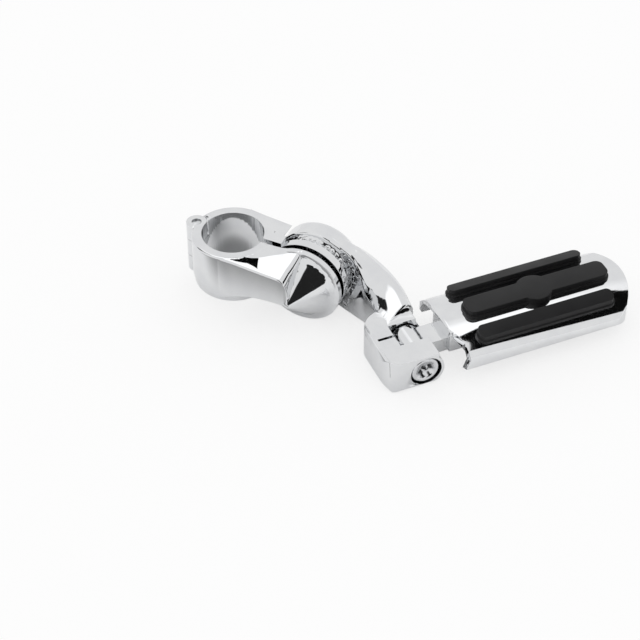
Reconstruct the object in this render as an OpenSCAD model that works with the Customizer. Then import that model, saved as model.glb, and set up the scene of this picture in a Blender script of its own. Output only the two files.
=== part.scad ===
/* [Clamp] */
// Outer diameter of the engine guard tube that the clamp grips
tube_d = 31.75; // [30:0.05:33]
// Radial room round the tube before the clamp bolt is tightened
bore_clearance = 0.1; // [0.05:0.01:0.15]
// Height of both jaws along the tube
clamp_h = 29; // [27:0.5:32]
// Wall of the ring round the tube
ring_wall = 5.2; // [4.6:0.1:6]
// Gap between the jaws at the bolt
slit_w = 3; // [2:0.1:3.4]
// How far the gap lies behind the tube's axis
slit_y = 0.8; // [0.4:0.1:1.2]
// Radius of the rounded rims of the ring
ring_edge_r = 1.2; // [0.6:0.1:1.6]

// How far the ring's outside draws in towards its lower rim
ring_draw = 1; // [0.4:0.1:1.6]

/* [Clamp hinge] */
// Diameter of the hinge pin
hinge_pin_d = 5; // [4:0.1:5.4]
// Radius of the hinge knuckles
knuckle_r = 5.3; // [5:0.1:5.6]
// Height of the rear jaw's middle knuckle
tongue_h = 10; // [8:0.5:12]
// Room above and below the middle knuckle
knuckle_gap = 0.2; // [0.1:0.05:0.4]
// Radial room of the hinge pin in the front jaw
hinge_clearance = 0.05; // [0.02:0.01:0.09]

/* [Clamp bolt and swivel] */
// Distance from the tube's axis to the clamp bolt
bolt_x = 40; // [39:0.5:42]
// How far the clamp bolt lies below the middle of the jaws
bolt_drop = 3.5; // [2:0.5:4]
// Radius of the round jaw ends and of the arm's hub
disc_r = 21; // [20:0.25:21.5]
// Thickness of the rim of the front jaw's round end
front_disc_t = 3; // [2.4:0.1:3.6]
// Radius of the cone where it meets the rim
cone_base_r = 18.6; // [17:0.1:19]
// Height of the cone
cone_h = 17.4; // [15:0.1:18]
// Radius of the cone's blunt tip
cone_tip_r = 1.3; // [1:0.1:2]
// Thickness of the rear jaw's round end
rear_disc_t = 4.5; // [4:0.1:5]
// Radius of the serrated swivel faces
boss_r = 18.2; // [17:0.1:19]
// Height of the rear jaw's swivel boss
boss_t = 2.6; // [2.2:0.1:3]
// Number of grooves in each swivel face
serration_count = 36; // [24:2:48]
// Depth of the grooves
serration_depth = 0.6; // [0.4:0.1:0.8]
// Thickness of the arm's hub, from its swivel face to its outer face
hub_t = 16.2; // [15:0.2:17]
// Shank diameter of the clamp bolt
bolt_d = 9.5; // [9:0.1:10]
// Radial room of the bolt in the swivel
swivel_clearance = 0.06; // [0.02:0.01:0.09]
// Head diameter of the clamp bolt
bolt_head_d = 15.5; // [15:0.1:16]
// Head height of the clamp bolt
bolt_head_h = 8; // [7.6:0.1:8.4]

/* [Arm] */
// Distance along the slit from the tube's axis to the peg's pivot
pivot_x = 102.5; // [101:0.25:104]
// Distance across the slit from the tube's axis to the peg's pivot
pivot_y = -10.9; // [-12:0.1:-10]
// How far the peg's pivot lies below the middle of the jaws
pivot_drop = 14.5; // [14:0.1:15]
// Turn of the peg about the vertical, from the slit's direction
peg_yaw = 48; // [46:0.5:50]

/* [Clevis] */
// Width of the clevis block across both ears
clevis_w = 40; // [38:0.5:42]
// Height of the clevis block
clevis_h = 19.5; // [19:0.1:20]
// Length of the block behind the pivot
clevis_back = 20.5; // [20:0.25:22]
// Width of the slot between the ears
slot_w = 15; // [14.6:0.1:15.4]
// Length of the slot behind the pivot
slot_back = 8.5; // [8.2:0.1:9.5]
// Width of the saw cut that lets the ears spring together
kerf_w = 1.6; // [1.2:0.1:2]
// Wall left behind the saw cut
kerf_wall = 3.4; // [3:0.1:5]
// Radius of the block's upright corners
clevis_corner_r = 9.5; // [8:0.5:10]
// Radius of the block's lower edges along its sides
clevis_foot_r = 3; // [1:0.5:4]
// Diameter of the recess for the pivot bolt's head
recess_d = 16.6; // [16.2:0.1:17]
// Depth of the recess
recess_depth = 8.6; // [8.2:0.1:9]

/* [Pivot bolt] */
// Shank diameter of the pivot bolt
pivot_d = 9.5; // [9:0.1:10]
// Radial room of the pivot bolt in the tongue
pivot_clearance = 0.06; // [0.02:0.01:0.09]
// Head diameter of the pivot bolt
pivot_head_d = 14.3; // [13.8:0.1:14.8]
// Head height of the pivot bolt
pivot_head_h = 6.6; // [6:0.1:7]
// Hexagon across its flats
hex_af = 7.94; // [7:0.01:8.5]

/* [Peg] */
// Width of the peg across the foot
peg_w = 50; // [48:0.5:52]
// Length of the peg's straight sides, from its inner end
peg_straight = 90; // [86:0.5:94]
// How far the round outer end bulges past the straight sides
peg_nose = 10.5; // [9:0.5:13]
// Radius of the corners of the outer end
nose_corner_r = 6; // [4.5:0.25:8]
// Distance from the pivot to the peg's inner end
peg_start = 17.5; // [17:0.25:19]
// Distance from the pivot's height down to the skirt's lower edge
skirt_below = 2; // [1.5:0.1:2.5]
// Height of the crown's middle over the skirt's lower edge
crown_h = 13.8; // [13.2:0.1:14.4]
// Height of the skirt at the peg's sides
skirt_h = 8.8; // [8.4:0.1:9.4]
// Wall of the cast peg
peg_wall = 2.8; // [2.4:0.1:3.2]
// Bevel along the crown's inner end
crown_bevel = 1.4; // [0.8:0.1:2]
// Width of the tongue in the clevis
tongue_w = 13; // [12.6:0.1:13.4]

/* [Pads] */
// Length of the middle pad
centre_pad_l = 80; // [76:0.5:84]
// Width of the middle pad
centre_pad_w = 13.2; // [12:0.1:14]
// Gap between the middle pad's round field and the side pads
disc_gap = 3.95; // [3.5:0.05:4.4]
// Length of each side pad
side_pad_l = 76; // [72:0.5:78]
// Width of each side pad
side_pad_w = 8.5; // [7.5:0.25:9]
// Distance of the side pads' middle lines from the peg's sides
side_pad_inset = 7.6; // [7.2:0.1:8]
// Radius of the middle pad's corners
centre_pad_r = 4.5; // [3.5:0.1:5.5]
// Radius of the side pads' corners
side_pad_r = 3.6; // [3:0.1:4]
// Width of the thin flange round each pad
pad_flange_w = 0.7; // [0.4:0.05:1]
// Thickness of that flange
pad_flange_t = 1.2; // [0.8:0.1:2]
// How far the pads stand above the crown
pad_h = 4; // [3:0.1:4.5]

/* [Hidden] */
$fn = 64;

eps = 0.01;
bore_r = tube_d / 2 + bore_clearance;
ring_r = bore_r + ring_wall;
bolt_z = -bolt_drop;
hinge_x = -bore_r - knuckle_r + 0.5;
front_face_y = slit_y - slit_w / 2;
rear_face_y = slit_y + slit_w / 2;
rear_disc_y = rear_face_y + rear_disc_t;
boss_y = rear_disc_y + boss_t;
hub_y = boss_y + hub_t;
hub_gap = 0.03;
thread_d = bolt_d - 1.5;
leaf_z = tongue_h / 2 + knuckle_gap;
head_seat_y = hub_y - bolt_head_h - 2.2;
bolt_washer_t = 1.6;
bolt_tip_y = front_face_y - 9;

pivot_z = -pivot_drop;
ear_r = clevis_h / 2;
recess_floor_y = -clevis_w / 2 + recess_depth;
pivot_washer_t = 1.2;
spring_washer_t = (slot_w - tongue_w) / 2;
nut_af = 14;
nut_h = 6;

skirt_z = -skirt_below;
crown_sag = crown_h - skirt_h;
crown_r = (pow(peg_w / 2, 2) + pow(crown_sag, 2)) / (2 * crown_sag);
nose_r = (pow(peg_w / 2, 2) + pow(peg_nose, 2)) / (2 * peg_nose);
crown_z = skirt_z + crown_h;
side_pad_y = peg_w / 2 - side_pad_inset;
centre_disc_d = 2 * (side_pad_y - side_pad_w / 2 - disc_gap);
centre_pad_x = peg_start + 52;
side_pad_x = peg_start + 49;
tongue_top = 4.6;
tongue_low = -3.5;
rib_t = 3;
fit_gap = 0.05;
boss_z = 3.6;
nose_screw_x = peg_start + peg_straight - 1;
screw_d = 4;
bevel_end = [peg_start + 4.1, -peg_w / 2 + 4.3, skirt_z + 9];
pad_washer_d = 8;

// Turns a shape drawn along Z so that it lies along the clamp bolt, with its foot at y
module on_bolt(y) {
    translate([bolt_x, y, bolt_z]) rotate([-90, 0, 0]) children();
}

// Puts a shape drawn at the pivot, with the peg along X, into its place
module at_pivot() {
    translate([pivot_x, pivot_y, pivot_z]) rotate([0, 0, peg_yaw]) children();
}

// Turns a shape drawn along Z so that it lies along the pivot bolt, with its foot at y
module on_pivot(y) {
    at_pivot() translate([0, y, 0]) rotate([-90, 0, 0]) children();
}

// Smooth curve through the entries of a list, at a place counted in entries
function curve(list, t) =
    let (i = min(floor(t), len(list) - 2), f = t - i, a = list[max(i - 1, 0)], b = list[i],
        c = list[i + 1], d = list[min(i + 2, len(list) - 1)])
    b + f * ((c - a) / 2 + f * ((2 * a - 5 * b + 4 * c - d) / 2 + f * (3 * b - a - 3 * c + d) / 2));

function unit(v) = v / norm(v);

// Angle in a section's plane at which the side from one corner circle to the next one faces out
function side_angle(p, q, rp, rq, across, up) =
    let (d = q - p) atan2(d * up, d * across) - 90 + asin((rp - rq) / norm([d * across, d * up]));

// Points round a section whose corners are circles, in order against the clock
function section_ring(c, r, across, up, arc_steps, side_points, swell) =
    [for (i = [0 : len(c) - 1])
        let (n = len(c), h = (i + n - 1) % n, k = (i + 1) % n,
            a0 = side_angle(c[h], c[i], r[h], r[i], across, up),
            turn = (side_angle(c[i], c[k], r[i], r[k], across, up) - a0 + 740) % 360 - 20,
            out = cos(a0 + turn) * across + sin(a0 + turn) * up,
            p = c[i] + r[i] * out, q = c[k] + r[k] * out)
        each concat(
            [for (j = [0 : arc_steps]) let (a = a0 + turn * j / arc_steps)
                c[i] + r[i] * (cos(a) * across + sin(a) * up)],
            [for (j = [1 : side_points]) let (f = j / (side_points + 1))
                p + (q - p) * f + out * (swell * 4 * f * (1 - f))])];

function middle(ring) = [for (p = ring) 1] * ring / len(ring);

// Closed skin over a row of sections
module loft(rings) {
    n = len(rings[0]);
    m = len(rings);
    points = concat([for (r = rings) each r], [middle(rings[0]), middle(rings[m - 1])]);
    sides = [for (i = [0 : m - 2], j = [0 : n - 1])
        let (a = i * n + j, b = i * n + (j + 1) % n) each [[a, b + n, b], [a, a + n, b + n]]];
    ends = [for (j = [0 : n - 1]) let (k = (j + 1) % n)
        each [[m * n, j, k], [m * n + 1, (m - 1) * n + k, (m - 1) * n + j]]];
    polyhedron(points = points, faces = concat(sides, ends));
}

// Upright ring round the tube with rounded rims, drawn in towards its foot
module ring_blank() {
    r = ring_edge_r;
    h = clamp_h / 2;
    rotate_extrude() {
        polygon([[0, -h], [ring_r - ring_draw - r, -h], [ring_r - ring_draw, -h + r],
            [ring_r, -h / 2], [ring_r, h - r], [ring_r - r, h], [0, h]]);
        translate([ring_r - r, h - r]) circle(r);
        translate([ring_r - ring_draw - r, -h + r]) circle(r);
    }
}

module bore() {
    cylinder(r = bore_r, h = clamp_h + 20, center = true);
}

module knuckle(h, extra = 0) {
    translate([hinge_x, 0, 0]) cylinder(r = knuckle_r + extra, h = h, center = true);
}

// Grooves cut across a swivel face, from its rim inwards
module serrations(y, depth) {
    for (i = [0 : serration_count - 1])
        translate([bolt_x, y, bolt_z]) rotate([0, i * 360 / serration_count, 0])
            translate([bolt_d, -depth, -0.4]) cube([boss_r, 2 * depth, 0.8]);
}

// Sections of the web from the ring to the nose beside the cone: place along the slit, front wall,
// ridge, edge of the flat top and its height, lower edges in front and behind
web = [
    [-6, -19.4, 13.9, -16.2, 14, -13.4, -13.6],
    [2, -21.1, 14.3, -16, 14.45, -12.4, -14.2],
    [10, -21.1, 14.2, -15.2, 14.45, -9.4, -16],
    [19, -21.1, 13.4, -13, 14.45, -6.2, -22],
    [27, -21.1, 12.7, -7.2, 14.7, -5, -25],
    [34, -21, 12.1, -3.8, 16.2, -4.9, -25.5],
    [37.2, -20.7, 10.9, -3.4, 16.7, -5.2, -25.5],
    [39.2, -20.2, 7, -3.2, 16.2, -5.2, -25.5],
    [40.4, -19, -1, -3.2, 14.6, -5.4, -25]];
web_back = 4;
web_r = [1.6, 1.6, 1, 1.6, 1.3];

function web_ring(t) =
    let (s = curve(web, t), r = web_r)
    section_ring([[s[0], s[1] + r[0], s[5] + r[0]], [s[0], web_back, s[6] + r[1]],
        [s[0], web_back, s[4] - r[2]], [s[0], s[3], s[4] - r[3]], [s[0], s[1] + r[4], s[2] - r[4]]],
        r, [0, 1, 0], [0, 0, 1], 3, 2, 0);

// Sloping web that carries the cone on the ring's front
module jaw_web() {
    difference() {
        loft([for (t = [0 : 0.25 : len(web) - 1]) web_ring(t)]);
        translate([0, 0, 0.15 - 1.5 * clamp_h]) cylinder(r = ring_r + 0.8, h = clamp_h);
    }
}

module clamp_front_jaw() {
    color("gainsboro") difference() {
        union() {
            difference() {
                union() {
                    ring_blank();
                    jaw_web();
                }
                translate([-60, front_face_y, -50]) cube([120, 60, 100]);
            }
            on_bolt(front_face_y - front_disc_t) cylinder(r = disc_r, h = front_disc_t);
            on_bolt(front_face_y - front_disc_t - cone_h)
                cylinder(r1 = cone_tip_r, r2 = cone_base_r, h = cone_h);
            difference() {
                knuckle(clamp_h);
                knuckle(2 * leaf_z, 0.6);
            }
        }
        bore();
        translate([-60, 0, -leaf_z]) cube([40, 60, 2 * leaf_z]);
        knuckle(2 * leaf_z, 0.5);
        translate([hinge_x, 0, 0])
            cylinder(d = hinge_pin_d + 2 * hinge_clearance, h = clamp_h + 2, center = true);
        on_bolt(bolt_tip_y - 2.6) cylinder(d = thread_d + 1.2, h = 20);
    }
}

module rear_body_outline() {
    polygon([[0, rear_face_y], [disc_edge_x(), rear_face_y], [disc_edge_x(), 17.6],
        [9, ring_r - 1.8], [0, ring_r - 0.5]]);
}
function disc_edge_x() = 26;

module clamp_rear_jaw() {
    color("gainsboro") difference() {
        union() {
            difference() {
                union() {
                    ring_blank();
                    translate([0, 0, -clamp_h / 2]) linear_extrude(clamp_h) rear_body_outline();
                }
                translate([-60, -60, -50]) cube([120, 60 + rear_face_y, 100]);
                knuckle(clamp_h + 2, 0.6);
                translate([-60, -1, -50]) cube([60 + hinge_x, 60, 100]);
                on_bolt(rear_disc_y + 2) cylinder(r = disc_r + 2.5, h = 40);
            }
            on_bolt(rear_face_y) cylinder(r = disc_r, h = rear_disc_t);
            on_bolt(rear_disc_y - eps) cylinder(r = boss_r, h = boss_t + eps);
            knuckle(tongue_h);
            translate([hinge_x, 0, -tongue_h / 2]) cube([knuckle_r, ring_r / 2, tongue_h]);
        }
        bore();
        translate([hinge_x, 0, 0]) cylinder(d = hinge_pin_d + 0.03, h = clamp_h + 2, center = true);
        on_bolt(0) cylinder(d = bolt_d + 2 * fit_gap, h = 30);
        serrations(boss_y, serration_depth);
    }
}

module hinge_pin() {
    color("silver") translate([hinge_x, 0, 0]) union() {
        cylinder(d = hinge_pin_d, h = clamp_h - 0.6, center = true);
    }
}

// Cap screw along Z from its tip, with a hexagon socket in its head
module cap_screw(d, tip_l, head_d, head_h, socket_af) {
    difference() {
        union() {
            cylinder(d = d, h = tip_l + eps);
            translate([0, 0, tip_l]) rotate_extrude() {
                square([head_d / 2 - 0.8, head_h]);
                square([head_d / 2, head_h - 0.8]);
                translate([head_d / 2 - 0.8, head_h - 0.8]) circle(0.8);
            }
        }
        translate([0, 0, tip_l + head_h * 0.4])
            cylinder(d = socket_af / cos(30), h = head_h, $fn = 6);
    }
}

module washer(d_in, d_out, t) {
    difference() {
        cylinder(d = d_out, h = t);
        translate([0, 0, -1]) cylinder(d = d_in, h = t + 2);
    }
}

module clamp_bolt() {
    tip_l = head_seat_y - bolt_tip_y;
    color("silver") on_bolt(bolt_tip_y) difference() {
        cap_screw(bolt_d, tip_l, bolt_head_d, bolt_head_h, hex_af);
        translate([0, 0, -1]) difference() {
            cylinder(d = bolt_d + 2, h = 1 + rear_face_y - bolt_tip_y);
            cylinder(d = thread_d, h = 30);
        }
    }
}

module clamp_bolt_washer() {
    color("silver") on_bolt(head_seat_y - bolt_washer_t)
        washer(bolt_d + 0.4, bolt_head_d, bolt_washer_t);
}

// Corners of the neck's sections, from the hub to the clevis: near top, far top, near bottom,
// far bottom, each counted from the clamp bolt's axis and the swivel face
neck = [
    [[7, 6.1, 17.5], [5, 9.2, 14], [7, 5.8, -17], [5, 10.5, -14.5]],
    [[18.6, 4.6, 12.5], [15, 8.6, 11], [15, 2.8, -18], [12, 10.5, -14]],
    [[25, 2.6, 7], [25.5, 7.6, 7.6], [25, -0.7, -18], [23, 8.6, -14.5]],
    [[32.5, -2.4, -2.5], [37, 4.1, 3.3], [35, -4.8, -18], [36, 4.1, -15.2]],
    [[43.5, -13.2, -3.4], [46.5, -0.6, -1.2], [43.5, -13.2, -18], [50, -5, -16]],
    [[50, -19.5, -3.6], [54.5, -7.6, -4.7], [50, -19.5, -18], [55, -8.5, -15]]];
corner_r = [2, 6, 2.5, 4.5];
neck_swell = 0.35;

// Section of the neck at a place along it, square to its width
function neck_ring(t) =
    let (foot = [bolt_x, boss_y, bolt_z],
        c = [for (k = [2, 3, 1, 0]) foot + curve([for (s = neck) s[k]], t)],
        r = [for (k = [2, 3, 1, 0]) corner_r[k]],
        across = unit(c[1] + c[2] - c[0] - c[3]),
        rise = c[2] + c[3] - c[0] - c[1])
    section_ring(c, r, across, unit(rise - (rise * across) * across), 4, 2, neck_swell);

module arm_neck() {
    loft([for (t = [0 : 0.2 : len(neck) - 1]) neck_ring(t)]);
}

module hub() {
    e = 5;
    on_bolt(boss_y + hub_gap) rotate_extrude() {
        square([boss_r, 4]);
        polygon([[0, 3], [disc_r - 0.8, 3], [disc_r, 3.8], [disc_r, hub_t - e],
            [disc_r - e, hub_t], [0, hub_t]]);
        translate([disc_r - e, hub_t - e]) circle(e);
    }
}

// Side view of the clevis block: rounded ears, bevelled back
module clevis_profile() {
    b = 2.4;
    circle(ear_r);
    polygon([[ear_r - 3, 0], [ear_r - 3, ear_r], [-clevis_back + b, ear_r], [-clevis_back, ear_r - b],
        [-clevis_back, -ear_r + b + 1], [-clevis_back + b + 1, -ear_r], [0, -ear_r], [0, 0]]);
}

// Plan of the clevis block, with round corners at the back
module clevis_plan() {
    c = clevis_corner_r;
    c2 = c + 4.5;
    w = clevis_w;
    translate([-clevis_back + c2, -w / 2]) square([clevis_back + ear_r + 1 - c2, w]);
    translate([-clevis_back + c, -w / 2]) square([c2 - c + 1, w / 2]);
    translate([-clevis_back, -w / 2 + c]) square([c2 + 1, w - c - c2]);
    translate([-clevis_back + c, -w / 2 + c]) circle(c);
    translate([-clevis_back + c2, w / 2 - c2]) circle(c2);
}

// End view of the clevis block, with rounded lower edges
module clevis_end_view() {
    w = clevis_w / 2;
    r = clevis_foot_r;
    translate([-w, -ear_r + r]) square([2 * w, clevis_h - r + 1]);
    translate([-w + r, -ear_r]) square([2 * w - 2 * r, clevis_h]);
    for (s = [-1, 1]) translate([s * (w - r), -ear_r + r]) circle(r);
}

module clevis_blank() {
    intersection() {
        translate([0, 0, -clevis_h]) linear_extrude(2 * clevis_h) clevis_plan();
        translate([0, clevis_w, 0]) rotate([90, 0, 0]) linear_extrude(2 * clevis_w) clevis_profile();
        translate([-clevis_w, 0, 0]) rotate([90, 0, 90]) linear_extrude(2 * clevis_w) clevis_end_view();
    }
}

module arm() {
    color("gainsboro") difference() {
        union() {
            hub();
            arm_neck();
            at_pivot() clevis_blank();
        }
        on_bolt(boss_y + hub_gap - 30) cylinder(r = disc_r + 0.6, h = 30);
        on_bolt(boss_y + hub_gap - 1) difference() {
            cylinder(r = disc_r + 0.6, h = 4);
            cylinder(r = boss_r, h = 30);
        }
        on_bolt(0) cylinder(d = bolt_d + 2 * swivel_clearance, h = 60);
        on_bolt(head_seat_y - bolt_washer_t) cylinder(d = bolt_head_d + 1, h = 40);
        serrations(boss_y + hub_gap, serration_depth);
        at_pivot() {
            translate([-slot_back, -slot_w / 2, -ear_r - 20]) cube([60, slot_w, 80]);
            translate([kerf_wall - clevis_back, -kerf_w / 2, -ear_r - 1])
                cube([clevis_back - kerf_wall, kerf_w, clevis_h + 2]);
        }
        on_pivot(-60) cylinder(d = pivot_d + 2 * fit_gap, h = 120);
        on_pivot(-60) cylinder(d = recess_d, h = 60 + recess_floor_y);
        on_pivot(clevis_w / 2 - nut_h - 0.6) cylinder(d = nut_af / cos(30) + 0.3, h = 30, $fn = 6);
    }
}

module pivot_bolt() {
    tip_l = clevis_w / 2 - 1 - recess_floor_y + pivot_washer_t;
    color("silver") at_pivot() translate([0, clevis_w / 2 - 1, 0]) rotate([90, 0, 0])
        cap_screw(pivot_d, tip_l, pivot_head_d, pivot_head_h, hex_af);
}

module pivot_washer() {
    color("silver") on_pivot(recess_floor_y - pivot_washer_t)
        washer(pivot_d + 0.4, pivot_head_d + 0.8, pivot_washer_t);
}

module spring_washer() {
    color("silver") on_pivot(-slot_w / 2) washer(pivot_d + 0.2, clevis_h - 3.5, spring_washer_t - 0.04);
}

module pivot_nut() {
    color("silver") on_pivot(clevis_w / 2 - nut_h - 0.6) difference() {
        cylinder(d = nut_af / cos(30), h = nut_h, $fn = 6);
        translate([0, 0, -1]) cylinder(d = pivot_d + 0.1, h = nut_h + 2);
    }
}

// Plan of the peg, drawn in by a margin: straight sides, round corners and a bulging outer end
module peg_plan(m = 0) {
    w = peg_w / 2;
    c = nose_corner_r;
    nose_x = peg_start + peg_straight + peg_nose - nose_r;
    corner_x = nose_x + sqrt(pow(nose_r - c, 2) - pow(w - c, 2));
    translate([peg_start - 1, -w + m]) square([corner_x - peg_start + 1, 2 * (w - m)]);
    for (s = [-1, 1]) translate([corner_x, s * (w - c)]) circle(c - m);
    intersection() {
        translate([nose_x, 0]) circle(nose_r - m, $fn = 128);
        translate([corner_x - 1, -(w - c) * nose_r / (nose_r - c)])
            square([nose_r, 2 * (w - c) * nose_r / (nose_r - c)]);
    }
}

// Section of the peg across the foot, drawn in by a margin
module peg_section(m = 0) {
    c = 3.5;
    intersection() {
        translate([-peg_w / 2 + m, skirt_z - 1]) square([peg_w - 2 * m, 60]);
        translate([0, crown_z - crown_r]) circle(crown_r - m, $fn = 180);
        polygon([[-peg_w / 2 + m, -60], [peg_w / 2 - m, -60], [peg_w / 2 - m, skirt_z + skirt_h - c],
            [peg_w / 2 - m - c, skirt_z + skirt_h], [0, crown_z + 10],
            [-peg_w / 2 + m + c, skirt_z + skirt_h], [-peg_w / 2 + m, skirt_z + skirt_h - c]]);
    }
}

// Side view that bevels the crown's inner end
module peg_side_view() {
    x = peg_start - 1;
    l = peg_straight + peg_nose + 10;
    polygon([[x, skirt_z - 1], [x, crown_z - crown_bevel - 1], [x + 1 + crown_bevel, crown_z + 0.2],
        [x + l, crown_z + 0.2], [x + l, skirt_z - 1]]);
}

module peg_blank(m = 0) {
    intersection() {
        translate([0, 0, skirt_z]) linear_extrude(2 * crown_h) peg_plan(m);
        translate([-5, 0, 0]) rotate([90, 0, 90]) linear_extrude(2 * peg_straight) peg_section(m);
        translate([0, peg_w, 0]) rotate([90, 0, 0]) linear_extrude(2 * peg_w) peg_side_view();
    }
}

// Room beyond the bevel that clears the near ear when the peg is down
module corner_bevel() {
    a = [peg_start, -6.9, 9.5];
    n = cross([peg_start, -15.3, 1.5] - a, bevel_end - a);
    translate(a) rotate([0, acos(n[2] / norm(n)), atan2(n[1], n[0])])
        translate([-peg_w, -peg_w, 0]) cube([2 * peg_w, 2 * peg_w, peg_w]);
}

// Height of the crown's outside at a distance from the peg's middle line
function crown_at(y) = crown_z - crown_r + sqrt(crown_r * crown_r - y * y);

// Middle of each pad screw
pad_screw_at = [for (x = [-26, 26], y = [-side_pad_y, side_pad_y]) [side_pad_x + x, y],
    [centre_pad_x - 4, 0], [centre_pad_x + 23, 0]];

module pad_screw_places() {
    for (p = pad_screw_at) translate([p[0], p[1], 0]) children();
}

module peg_body() {
    color("gainsboro") at_pivot() difference() {
        union() {
            difference() {
                peg_blank();
                translate([0, 0, -eps]) peg_blank(peg_wall);
                translate([peg_start - peg_w, -peg_w, -peg_w]) cube([peg_w, 2 * peg_w, 2 * peg_w]);
                corner_bevel();
            }
            intersection() {
                for (s = [-1, 1]) translate([peg_start, s * (tongue_w / 2 + rib_t / 2 + 0.1) - rib_t / 2, skirt_z])
                    cube([peg_straight - 6, rib_t, 40]);
                peg_blank(1);
            }
            intersection() {
                union() {
                    pad_screw_places() translate([0, 0, boss_z]) cylinder(d = 9, h = 20);
                    translate([nose_screw_x, 0, 1]) cylinder(d = 11, h = 20);
                }
                peg_blank(1);
            }
            intersection() {
                translate([peg_start, -tongue_w / 2 - rib_t, tongue_top])
                    cube([peg_straight - 6, tongue_w + 2 * rib_t, 40]);
                peg_blank(1);
            }
        }
        pad_screw_places() cylinder(d = screw_d + 0.4, h = 40);
        pad_screw_places() translate([0, 0, boss_z - 20]) cylinder(d = pad_washer_d + 0.4, h = 20);
        for (x = [peg_start + 14, peg_start + 34]) translate([x, 0, 0]) cylinder(d = 5, h = 9.5);
        translate([nose_screw_x, 0, 0]) cylinder(d = 5.1, h = 8);
    }
}

module peg_tongue() {
    l = peg_start + 42;
    color("gainsboro") at_pivot() difference() {
        union() {
            translate([0, tongue_w / 2, 0]) rotate([90, 0, 0]) cylinder(r = 8, h = tongue_w);
            translate([0, -tongue_w / 2, tongue_low]) cube([l, tongue_w, tongue_top - tongue_low]);
        }
        translate([0, tongue_w, 0]) rotate([90, 0, 0])
            cylinder(d = pivot_d + 2 * pivot_clearance, h = 2 * tongue_w);
        for (x = [peg_start + 14, peg_start + 34]) translate([x, 0, -20]) cylinder(d = 5.3, h = 40);
    }
}

module tongue_screws() {
    color("dimgray") at_pivot() for (x = [peg_start + 14, peg_start + 34])
        translate([x, 0, tongue_top + 2.8]) mirror([0, 0, 1])
            cap_screw(4.9, tongue_top - tongue_low + 3.8, 8.5, 3.4, 4);
}

module tongue_screw_washers() {
    color("silver") at_pivot() for (x = [peg_start + 14, peg_start + 34])
        translate([x, 0, tongue_low - 1]) washer(5.3, 9.5, 1);
}

// Upright block with the plan of a pad
module pad_prism(l, w, r) {
    linear_extrude(peg_w) {
        square([l - 2 * r, w], center = true);
        square([l, w - 2 * r], center = true);
        for (s = [-1, 1], u = [-1, 1]) translate([s * (l / 2 - r), u * (w / 2 - r)]) circle(r);
    }
}

// Strip of pad on the crown: a thin flange, and the tread that stands up inside it
module pad_strip(l, w, x, y, r) {
    e = pad_flange_w;
    intersection() {
        translate([x, y, 0]) pad_prism(l, w, r);
        pad_layer(pad_flange_t);
    }
    intersection() {
        translate([x, y, 0]) pad_prism(l - 2 * e, w - 2 * e, r - e);
        pad_layer(pad_h);
    }
}

// Layer of a given thickness on the crown
module pad_layer(t) {
    rotate([90, 0, 90]) linear_extrude(2 * peg_straight + peg_w) difference() {
        translate([0, crown_z - crown_r]) circle(crown_r + t, $fn = 180);
        translate([0, crown_z - crown_r]) circle(crown_r, $fn = 180);
        translate([-4 * peg_w, -8 * peg_w]) square([8 * peg_w, 8 * peg_w]);
    }
}

module pad_screw_holes() {
    for (p = pad_screw_at) translate([p[0], p[1], 0]) cylinder(d = screw_d + 0.1, h = crown_at(p[1]) + 2.2);
}

module front_pad() {
    color("dimgray") at_pivot() difference() {
        pad_strip(side_pad_l, side_pad_w, side_pad_x, -side_pad_y, side_pad_r);
        pad_screw_holes();
    }
}

module rear_pad() {
    color("dimgray") at_pivot() difference() {
        pad_strip(side_pad_l, side_pad_w, side_pad_x, side_pad_y, side_pad_r);
        pad_screw_holes();
    }
}

module centre_pad() {
    color("dimgray") at_pivot() difference() {
        union() {
            pad_strip(centre_pad_l, centre_pad_w, centre_pad_x, 0, centre_pad_r);
            intersection() {
                translate([centre_pad_x - 1, 0, 0]) cylinder(d = centre_disc_d, h = peg_w);
                pad_layer(pad_h);
            }
        }
        pad_screw_holes();
    }
}

module pad_screws() {
    color("silver") at_pivot() for (p = pad_screw_at) translate([p[0], p[1], 0]) {
        translate([0, 0, boss_z - 3]) cylinder(d = 7, h = 2.2);
        translate([0, 0, boss_z - 1]) cylinder(d = screw_d, h = crown_at(p[1]) + 3 - boss_z);
    }
}

module pad_screw_washers() {
    color("silver") at_pivot() pad_screw_places() translate([0, 0, boss_z - 0.8])
        washer(screw_d + 0.3, pad_washer_d, 0.8);
}

module end_screw() {
    color("silver") at_pivot() translate([nose_screw_x, 0, 7]) mirror([0, 0, 1])
        cap_screw(5, 6, 8.5, 2.6, 4);
}

clamp_front_jaw();
clamp_rear_jaw();
hinge_pin();
clamp_bolt();
clamp_bolt_washer();
arm();
pivot_bolt();
pivot_washer();
spring_washer();
pivot_nut();
peg_body();
peg_tongue();
tongue_screws();
tongue_screw_washers();
front_pad();
centre_pad();
rear_pad();
pad_screws();
pad_screw_washers();
end_screw();
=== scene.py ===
import math

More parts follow.
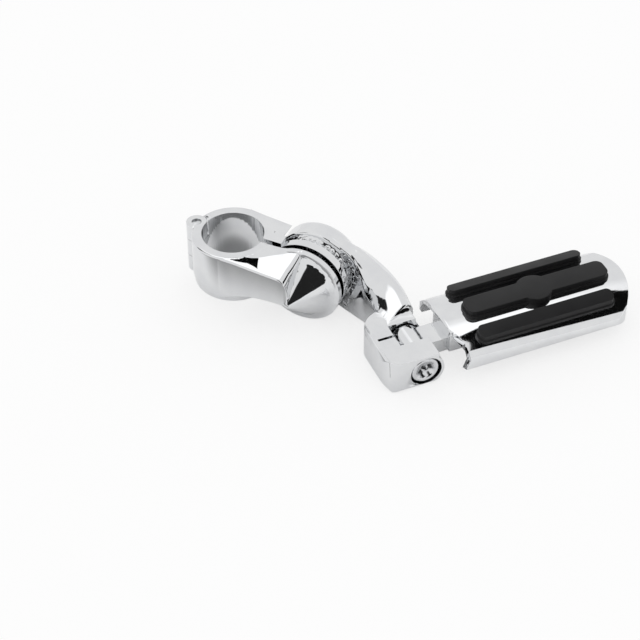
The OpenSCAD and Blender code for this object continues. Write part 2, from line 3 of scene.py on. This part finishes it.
import bpy
import bmesh
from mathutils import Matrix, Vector


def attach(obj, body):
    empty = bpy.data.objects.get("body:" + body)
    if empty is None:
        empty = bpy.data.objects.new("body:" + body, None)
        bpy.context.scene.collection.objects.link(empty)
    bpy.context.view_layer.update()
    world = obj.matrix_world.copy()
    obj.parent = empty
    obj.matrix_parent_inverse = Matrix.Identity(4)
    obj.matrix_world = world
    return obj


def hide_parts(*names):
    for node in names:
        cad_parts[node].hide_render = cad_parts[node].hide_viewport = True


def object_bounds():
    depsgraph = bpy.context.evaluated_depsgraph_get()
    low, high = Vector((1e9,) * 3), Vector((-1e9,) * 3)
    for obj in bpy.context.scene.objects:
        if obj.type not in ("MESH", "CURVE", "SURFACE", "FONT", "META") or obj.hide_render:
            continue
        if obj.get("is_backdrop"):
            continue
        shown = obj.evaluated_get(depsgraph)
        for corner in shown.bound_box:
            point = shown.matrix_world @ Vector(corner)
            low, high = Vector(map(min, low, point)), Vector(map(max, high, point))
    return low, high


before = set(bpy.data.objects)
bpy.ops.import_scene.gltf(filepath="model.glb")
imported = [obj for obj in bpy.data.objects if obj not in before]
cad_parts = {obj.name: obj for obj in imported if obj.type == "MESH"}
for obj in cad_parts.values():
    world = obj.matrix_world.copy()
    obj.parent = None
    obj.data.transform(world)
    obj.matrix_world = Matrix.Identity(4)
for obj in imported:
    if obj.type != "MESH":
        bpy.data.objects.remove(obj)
low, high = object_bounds()

# Chromed castings: the two clamp jaws, the arm with its hub and clevis, the
# peg's shell and its tongue. Zinc castings, polished and chrome plated, so
# they mirror the white tent, with edges that the polishing has softened.


def srgb(text):
    """A hex colour as linear RGBA."""
    parts = [int(text[i : i + 2], 16) / 255 for i in (1, 3, 5)]
    lin = [c / 12.92 if c <= 0.04045 else ((c + 0.055) / 1.055) ** 2.4 for c in parts]
    return (*lin, 1.0)


def add(tree, kind, settings=None, **links):
    """Adds a node: settings are its properties, links its inputs' values or sockets."""
    node = tree.nodes.new(kind)
    for name, value in (settings or {}).items():
        setattr(node, name, value)
    for name, value in links.items():
        key = int(name[1:]) if name[0] == "i" and name[1:].isdigit() else name.replace("_", " ")
        if isinstance(value, bpy.types.NodeSocket):
            tree.links.new(value, node.inputs[key])
        else:
            node.inputs[key].default_value = value
    return node


def finish_named(name):
    """An empty material, its tree and its Principled shader."""
    mat = bpy.data.materials.new(name)
    mat.use_nodes = True
    shader = mat.node_tree.nodes["Principled BSDF"]
    return mat, mat.node_tree, shader


def noise(tree, scale, detail):
    """A noise that stays with the piece; scale counts its lumps to the metre."""
    place = add(tree, "ShaderNodeTexCoord")
    return add(tree, "ShaderNodeTexNoise",
               Vector=place.outputs["Object"], Scale=scale, Detail=detail).outputs[0]


def spread(tree, value, least, most):
    """A noise's usual run, from 0.3 to 0.7, stretched from least to most."""
    return add(tree, "ShaderNodeMapRange",
               Value=value, i1=0.3, i2=0.7, i3=least, i4=most).outputs[0]


def blend(tree, share, first, second):
    """A colour between two hex colours."""
    return add(tree, "ShaderNodeMix", {"data_type": "RGBA"},
               i0=share, i6=srgb(first), i7=srgb(second)).outputs[2]


def soft_edge(tree, radius, samples):
    """A normal that rounds the sharp edges by a small radius."""
    return add(tree, "ShaderNodeBevel", {"samples": samples}, Radius=radius).outputs[0]


def bump(tree, height, normal, strength, distance):
    """A normal with a relief on it."""
    return add(tree, "ShaderNodeBump", Strength=strength, Distance=distance,
               Height=height, Normal=normal).outputs[0]


chrome, tree, shader = finish_named("polished_chrome_plate")
shader.inputs["Metallic"].default_value = 1.0
# polishing leaves broad, very shallow waves a few millimetres wide
waves = noise(tree, scale=120.0, detail=2.0)
haze = noise(tree, scale=900.0, detail=3.0)
rough = spread(tree, haze, 0.035, 0.07)
tone = blend(tree, spread(tree, waves, 0.0, 1.0), "#e6e7e8", "#e0e1e3")
ripple = bump(tree, waves, soft_edge(tree, radius=0.00022, samples=6),
              strength=0.02, distance=0.0004)
tree.links.new(rough, shader.inputs["Roughness"])
tree.links.new(tone, shader.inputs["Base Color"])
tree.links.new(ripple, shader.inputs["Normal"])

weld_distance = 2e-6
flat_face_weight = 60


def cast_copy(node, body, name, material, angle=32, round_over=0.0):
    """A copy of a CAD node with welded corners and smooth faces, which stands for it."""
    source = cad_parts[node]
    mesh = source.data.copy()
    mesh.name = name
    piece = bpy.data.objects.new(name, mesh)
    bpy.context.scene.collection.objects.link(piece)
    form = bmesh.new()
    form.from_mesh(mesh)
    bmesh.ops.remove_doubles(form, verts=form.verts, dist=weld_distance)
    form.to_mesh(mesh)
    form.free()
    mesh.materials.clear()
    mesh.materials.append(material)
    for face in mesh.polygons:
        face.use_smooth = True
        face.material_index = 0
    sharp_angle = math.radians(angle)
    mesh.set_sharp_from_angle(angle=sharp_angle)
    if round_over:
        soft = piece.modifiers.new("rounded_edges", "BEVEL")
        soft.width, soft.segments = round_over, 3
        soft.limit_method, soft.angle_limit = "ANGLE", sharp_angle
    flats = piece.modifiers.new("flat_faces_stay_flat", "WEIGHTED_NORMAL")
    flats.keep_sharp, flats.weight = True, flat_face_weight
    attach(piece, body)
    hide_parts(node)


cast_copy("clamp_front_jaw", "front_jaw", "front_jaw_casting", chrome)
cast_copy("clamp_rear_jaw", "clamp", "rear_jaw_casting", chrome, angle=18)
cast_copy("arm", "arm", "arm_casting", chrome, angle=18)
cast_copy("peg_body", "peg", "peg_casting", chrome)
cast_copy("peg_tongue", "peg", "tongue_casting", chrome)

# Bright fasteners: the hinge pin, the two socket head cap screws, their washers
# and nut, and the screws under the peg. Turned steel with a bright zinc plate.
plate, tree, shader = finish_named("bright_plated_steel")
shader.inputs["Metallic"].default_value = 1.0
shader.inputs["Base Color"].default_value = srgb("#dcdddf")
grain = noise(tree, scale=1500.0, detail=3.0)
tree.links.new(spread(tree, grain, 0.12, 0.22), shader.inputs["Roughness"])
tree.links.new(soft_edge(tree, radius=0.0002, samples=4), shader.inputs["Normal"])
for node, body in (
    ("hinge_pin", "clamp"), ("clamp_bolt", "clamp"), ("clamp_bolt_washer", "clamp"),
    ("pivot_bolt", "arm"), ("pivot_washer", "arm"), ("spring_washer", "arm"),
    ("pivot_nut", "arm"), ("tongue_screws", "peg"), ("tongue_screw_washers", "peg"),
    ("pad_screws", "peg"), ("pad_screw_washers", "peg"), ("end_screw", "peg"),
):
    cast_copy(node, body, node + "_plated", plate)

# Rubber pads: three strips of moulded black rubber, screwed on from below, with
# a satin skin that shows a fine moulded grain.
rubber, tree, shader = finish_named("moulded_satin_rubber")
shader.inputs["Specular IOR Level"].default_value = 0.3
skin = noise(tree, scale=2200.0, detail=4.0)
wear = noise(tree, scale=90.0, detail=2.0)
grained = bump(tree, skin, soft_edge(tree, radius=0.0006, samples=4),
               strength=0.08, distance=0.0001)
tree.links.new(spread(tree, wear, 0.42, 0.55), shader.inputs["Roughness"])
tree.links.new(blend(tree, wear, "#1a1a1b", "#202021"), shader.inputs["Base Color"])
tree.links.new(grained, shader.inputs["Normal"])
for node in ("front_pad", "centre_pad", "rear_pad"):
    cast_copy(node, "peg", node + "_moulding", rubber, angle=40, round_over=0.0007)

# Floor: the white sweep that the bracket lies on, with its soft contact shadow.
# The camera sees it nearly blown out, with the shadow thinned as much.


def matte(name, colour, roughness=1.0):
    """A material without gloss, its tree and its shader."""
    mat, tree, shader = finish_named(name)
    shader.inputs["Base Color"].default_value = srgb(colour)
    shader.inputs["Roughness"].default_value = roughness
    shader.inputs["Specular IOR Level"].default_value = 0.0
    return mat, tree, shader


def calc(tree, operation, first, second=0.0):
    """One step of arithmetic on numbers or sockets."""
    return add(tree, "ShaderNodeMath", {"operation": operation},
               i0=first, i1=second).outputs[0]


def overlay(tree, share, under, over):
    """Shows one shader over another, by a share from 0 to 1."""
    mixed = add(tree, "ShaderNodeMixShader",
                i0=share, i1=under.outputs[0], i2=over.outputs[0])
    tree.links.new(mixed.outputs[0], tree.nodes["Material Output"].inputs["Surface"])


sweep_size = 6.0
blown_out = 0.72
bpy.ops.mesh.primitive_plane_add(size=sweep_size, location=(0, 0, low[2]))
floor = bpy.context.object
floor.name = "floor"
paper, tree, shader = matte("white_paper_sweep", "#fdfdfd", roughness=0.9)
rays = add(tree, "ShaderNodeLightPath")
overlay(tree, calc(tree, "MULTIPLY", rays.outputs["Is Camera Ray"], blown_out),
        shader, add(tree, "ShaderNodeEmission", Strength=1.0))
floor.data.materials.append(paper)
floor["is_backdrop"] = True

# Flags: black cards hung over the bracket, which only the chrome sees, and
# which draw the dark band along the crown and the patch on the clamp's web.


def studio_card(name, corners, level, material):
    """A flat card at one height, seen in mirrors and by nothing else."""
    mesh = bpy.data.meshes.new(name)
    mesh.from_pydata([(x, y, level) for x, y in corners], [], [list(range(len(corners)))])
    mesh.materials.append(material)
    card = bpy.data.objects.new(name, mesh)
    bpy.context.scene.collection.objects.link(card)
    card.visible_camera = card.visible_diffuse = card.visible_shadow = False
    return card


crown_corners = (
    (0.126, 0.038), (0.130, 0.054), (0.186, 0.113), (0.300, 0.110), (0.440, 0.030),
    (0.397, 0.006), (0.318, -0.008), (0.259, -0.023), (0.229, -0.037),
)
web_corners = (
    (-0.002, -0.0095), (-0.002, -0.0065), (0.0155, -0.0040),
    (0.0170, -0.0045), (0.0192, -0.0112), (0.0122, -0.0090),
)
felt, tree, shader = matte("black_felt", "#0c0c0c")
for name, corners, level in (
    ("crown_flag", crown_corners, 0.080),
    ("web_flag", web_corners, 0.030),
):
    flag = studio_card(name, corners, level, felt)
    flag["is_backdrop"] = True

# Grey card: lies on the paper in front of the clamp, where only the chrome sees it; it paints a
# darker reflection into the upper half of the walls, fading in away from the part. A paler round
# of it lies under the bore, whose axis is the frame's own, and is painted shade: the floor's
# shade inside the bore, put into the bore's reflection.


def fade(tree, value, start, end, first, last):
    """A smooth change from first to last, while value goes from start to end."""
    return add(tree, "ShaderNodeMapRange", {"interpolation_type": "SMOOTHSTEP"},
               Value=value, i1=start, i2=end, i3=first, i4=last).outputs[0]


card_corners = ((-0.10, -0.20), (0.075, -0.20), (0.075, 0.02), (-0.10, 0.02))
card_level = -0.0240
# the grey of the painted shade and the painted reflection, seen only by the chrome
painted_shade_grey, tree, shader = matte("painted_shade_card", "#2a2a2a")
where = add(tree, "ShaderNodeNewGeometry").outputs["Position"]
forward = add(tree, "ShaderNodeSeparateXYZ", i0=where).outputs["Y"]
reach = add(tree, "ShaderNodeVectorMath", {"operation": "LENGTH"}, i0=where).outputs["Value"]
# painted reflection: darker paper reflected in the walls' upper halves, growing away from the
# part
painted_reflection_ahead = fade(tree, forward, -0.035, -0.065, 0.0, 0.6)
# painted shade: the floor's shade under the bore, seen in the bore's reflection
painted_shade_under_bore = fade(tree, reach, 0.0242, 0.0290, 0.55, 0.0)
overlay(tree, calc(tree, "MAXIMUM", painted_reflection_ahead, painted_shade_under_bore),
        add(tree, "ShaderNodeBsdfTransparent"), shader)
card = studio_card("painted_shade_card", card_corners, card_level, painted_shade_grey)
card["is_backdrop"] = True

# Light: a white tent all round, with a brighter patch overhead and the black
# gaps that the chrome shows. Mirrors see its levels, and all else a plain one.
world = bpy.data.worlds.new("white_tent")
bpy.context.scene.world = world
world.use_nodes = True
tree = world.node_tree
seen = add(tree, "ShaderNodeTexCoord").outputs["Generated"]
overhead = Vector((-0.2, 0.27, 0.94)).normalized()
plain_level, tent_level, overhead_level = 0.95, 0.89, 1.35
gap_level = 0.02


def along_axis(axis):
    """How far the direction seen goes along an axis."""
    return add(tree, "ShaderNodeVectorMath", {"operation": "DOT_PRODUCT"},
               i0=seen, i1=tuple(axis)).outputs["Value"]


def gap(start, end, half_width, soft, squareness=6.0):
    """Mask of a black gap in the tent: 1 along the strip from one direction to another."""
    start, end = Vector(start).normalized(), Vector(end).normalized()
    axis = (start + end).normalized()
    along = (end - start).normalized()
    halves = (start.angle(end) / 2, math.radians(half_width))
    sides = [
        calc(tree, "POWER", calc(tree, "ABSOLUTE", along_axis(side / math.sin(half))), squareness)
        for side, half in zip((along, axis.cross(along)), halves)
    ]
    inside = fade(tree, calc(tree, "ADD", *sides), 1.0 - soft, 1.0 + soft, 1.0, 0.0)
    return calc(tree, "MULTIPLY", inside, calc(tree, "GREATER_THAN", along_axis(axis), 0.0))


def choose(share, first, second):
    """One of two levels, by a ray's kind."""
    return add(tree, "ShaderNodeMix", {"data_type": "FLOAT"},
               i0=share, i2=first, i3=second).outputs[0]


dark = calc(
    tree, "MAXIMUM",
    gap((0.02, -0.72, 0.69), (0.84, -0.44, -0.32), half_width=15, soft=0.2),
    gap((-0.90, -0.27, 0.34), (-0.44, 0.05, 0.90), half_width=6, soft=0.3),
)
white = fade(tree, along_axis(overhead), 0.90, 0.955, tent_level, overhead_level)
tent = calc(tree, "MULTIPLY", white,
            add(tree, "ShaderNodeMapRange", Value=dark, i3=1.0, i4=gap_level).outputs[0])
rays = add(tree, "ShaderNodeLightPath")
mirrored = choose(rays.outputs["Is Glossy Ray"], plain_level, tent)
look = choose(rays.outputs["Is Camera Ray"], mirrored, 1.0)
back = tree.nodes["Background"]
back.inputs["Color"].default_value = (1, 1, 1, 1)
tree.links.new(look, back.inputs["Strength"])

# Camera: high, to the right and in front, where the photograph was taken. Its
# focal length was solved in pixels of the photograph.
sensor_width = 36.0
focal_pixels, photo_pixels = 1853.3, 640
pitch, heading = math.radians(42.1), math.radians(25.0)
view = bpy.data.cameras.new("photo_view")
view.sensor_width = sensor_width
view.lens = sensor_width * focal_pixels / photo_pixels
view.clip_end = 20
eye = bpy.data.objects.new("photo_view", view)
bpy.context.scene.collection.objects.link(eye)
eye.location = (0.3469, -0.6395, 0.6109)
eye.rotation_euler = (math.pi / 2 - pitch, 0, heading)
bpy.context.scene.camera = eye
bpy.context.scene.view_settings.view_transform = "Standard"

low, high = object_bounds()
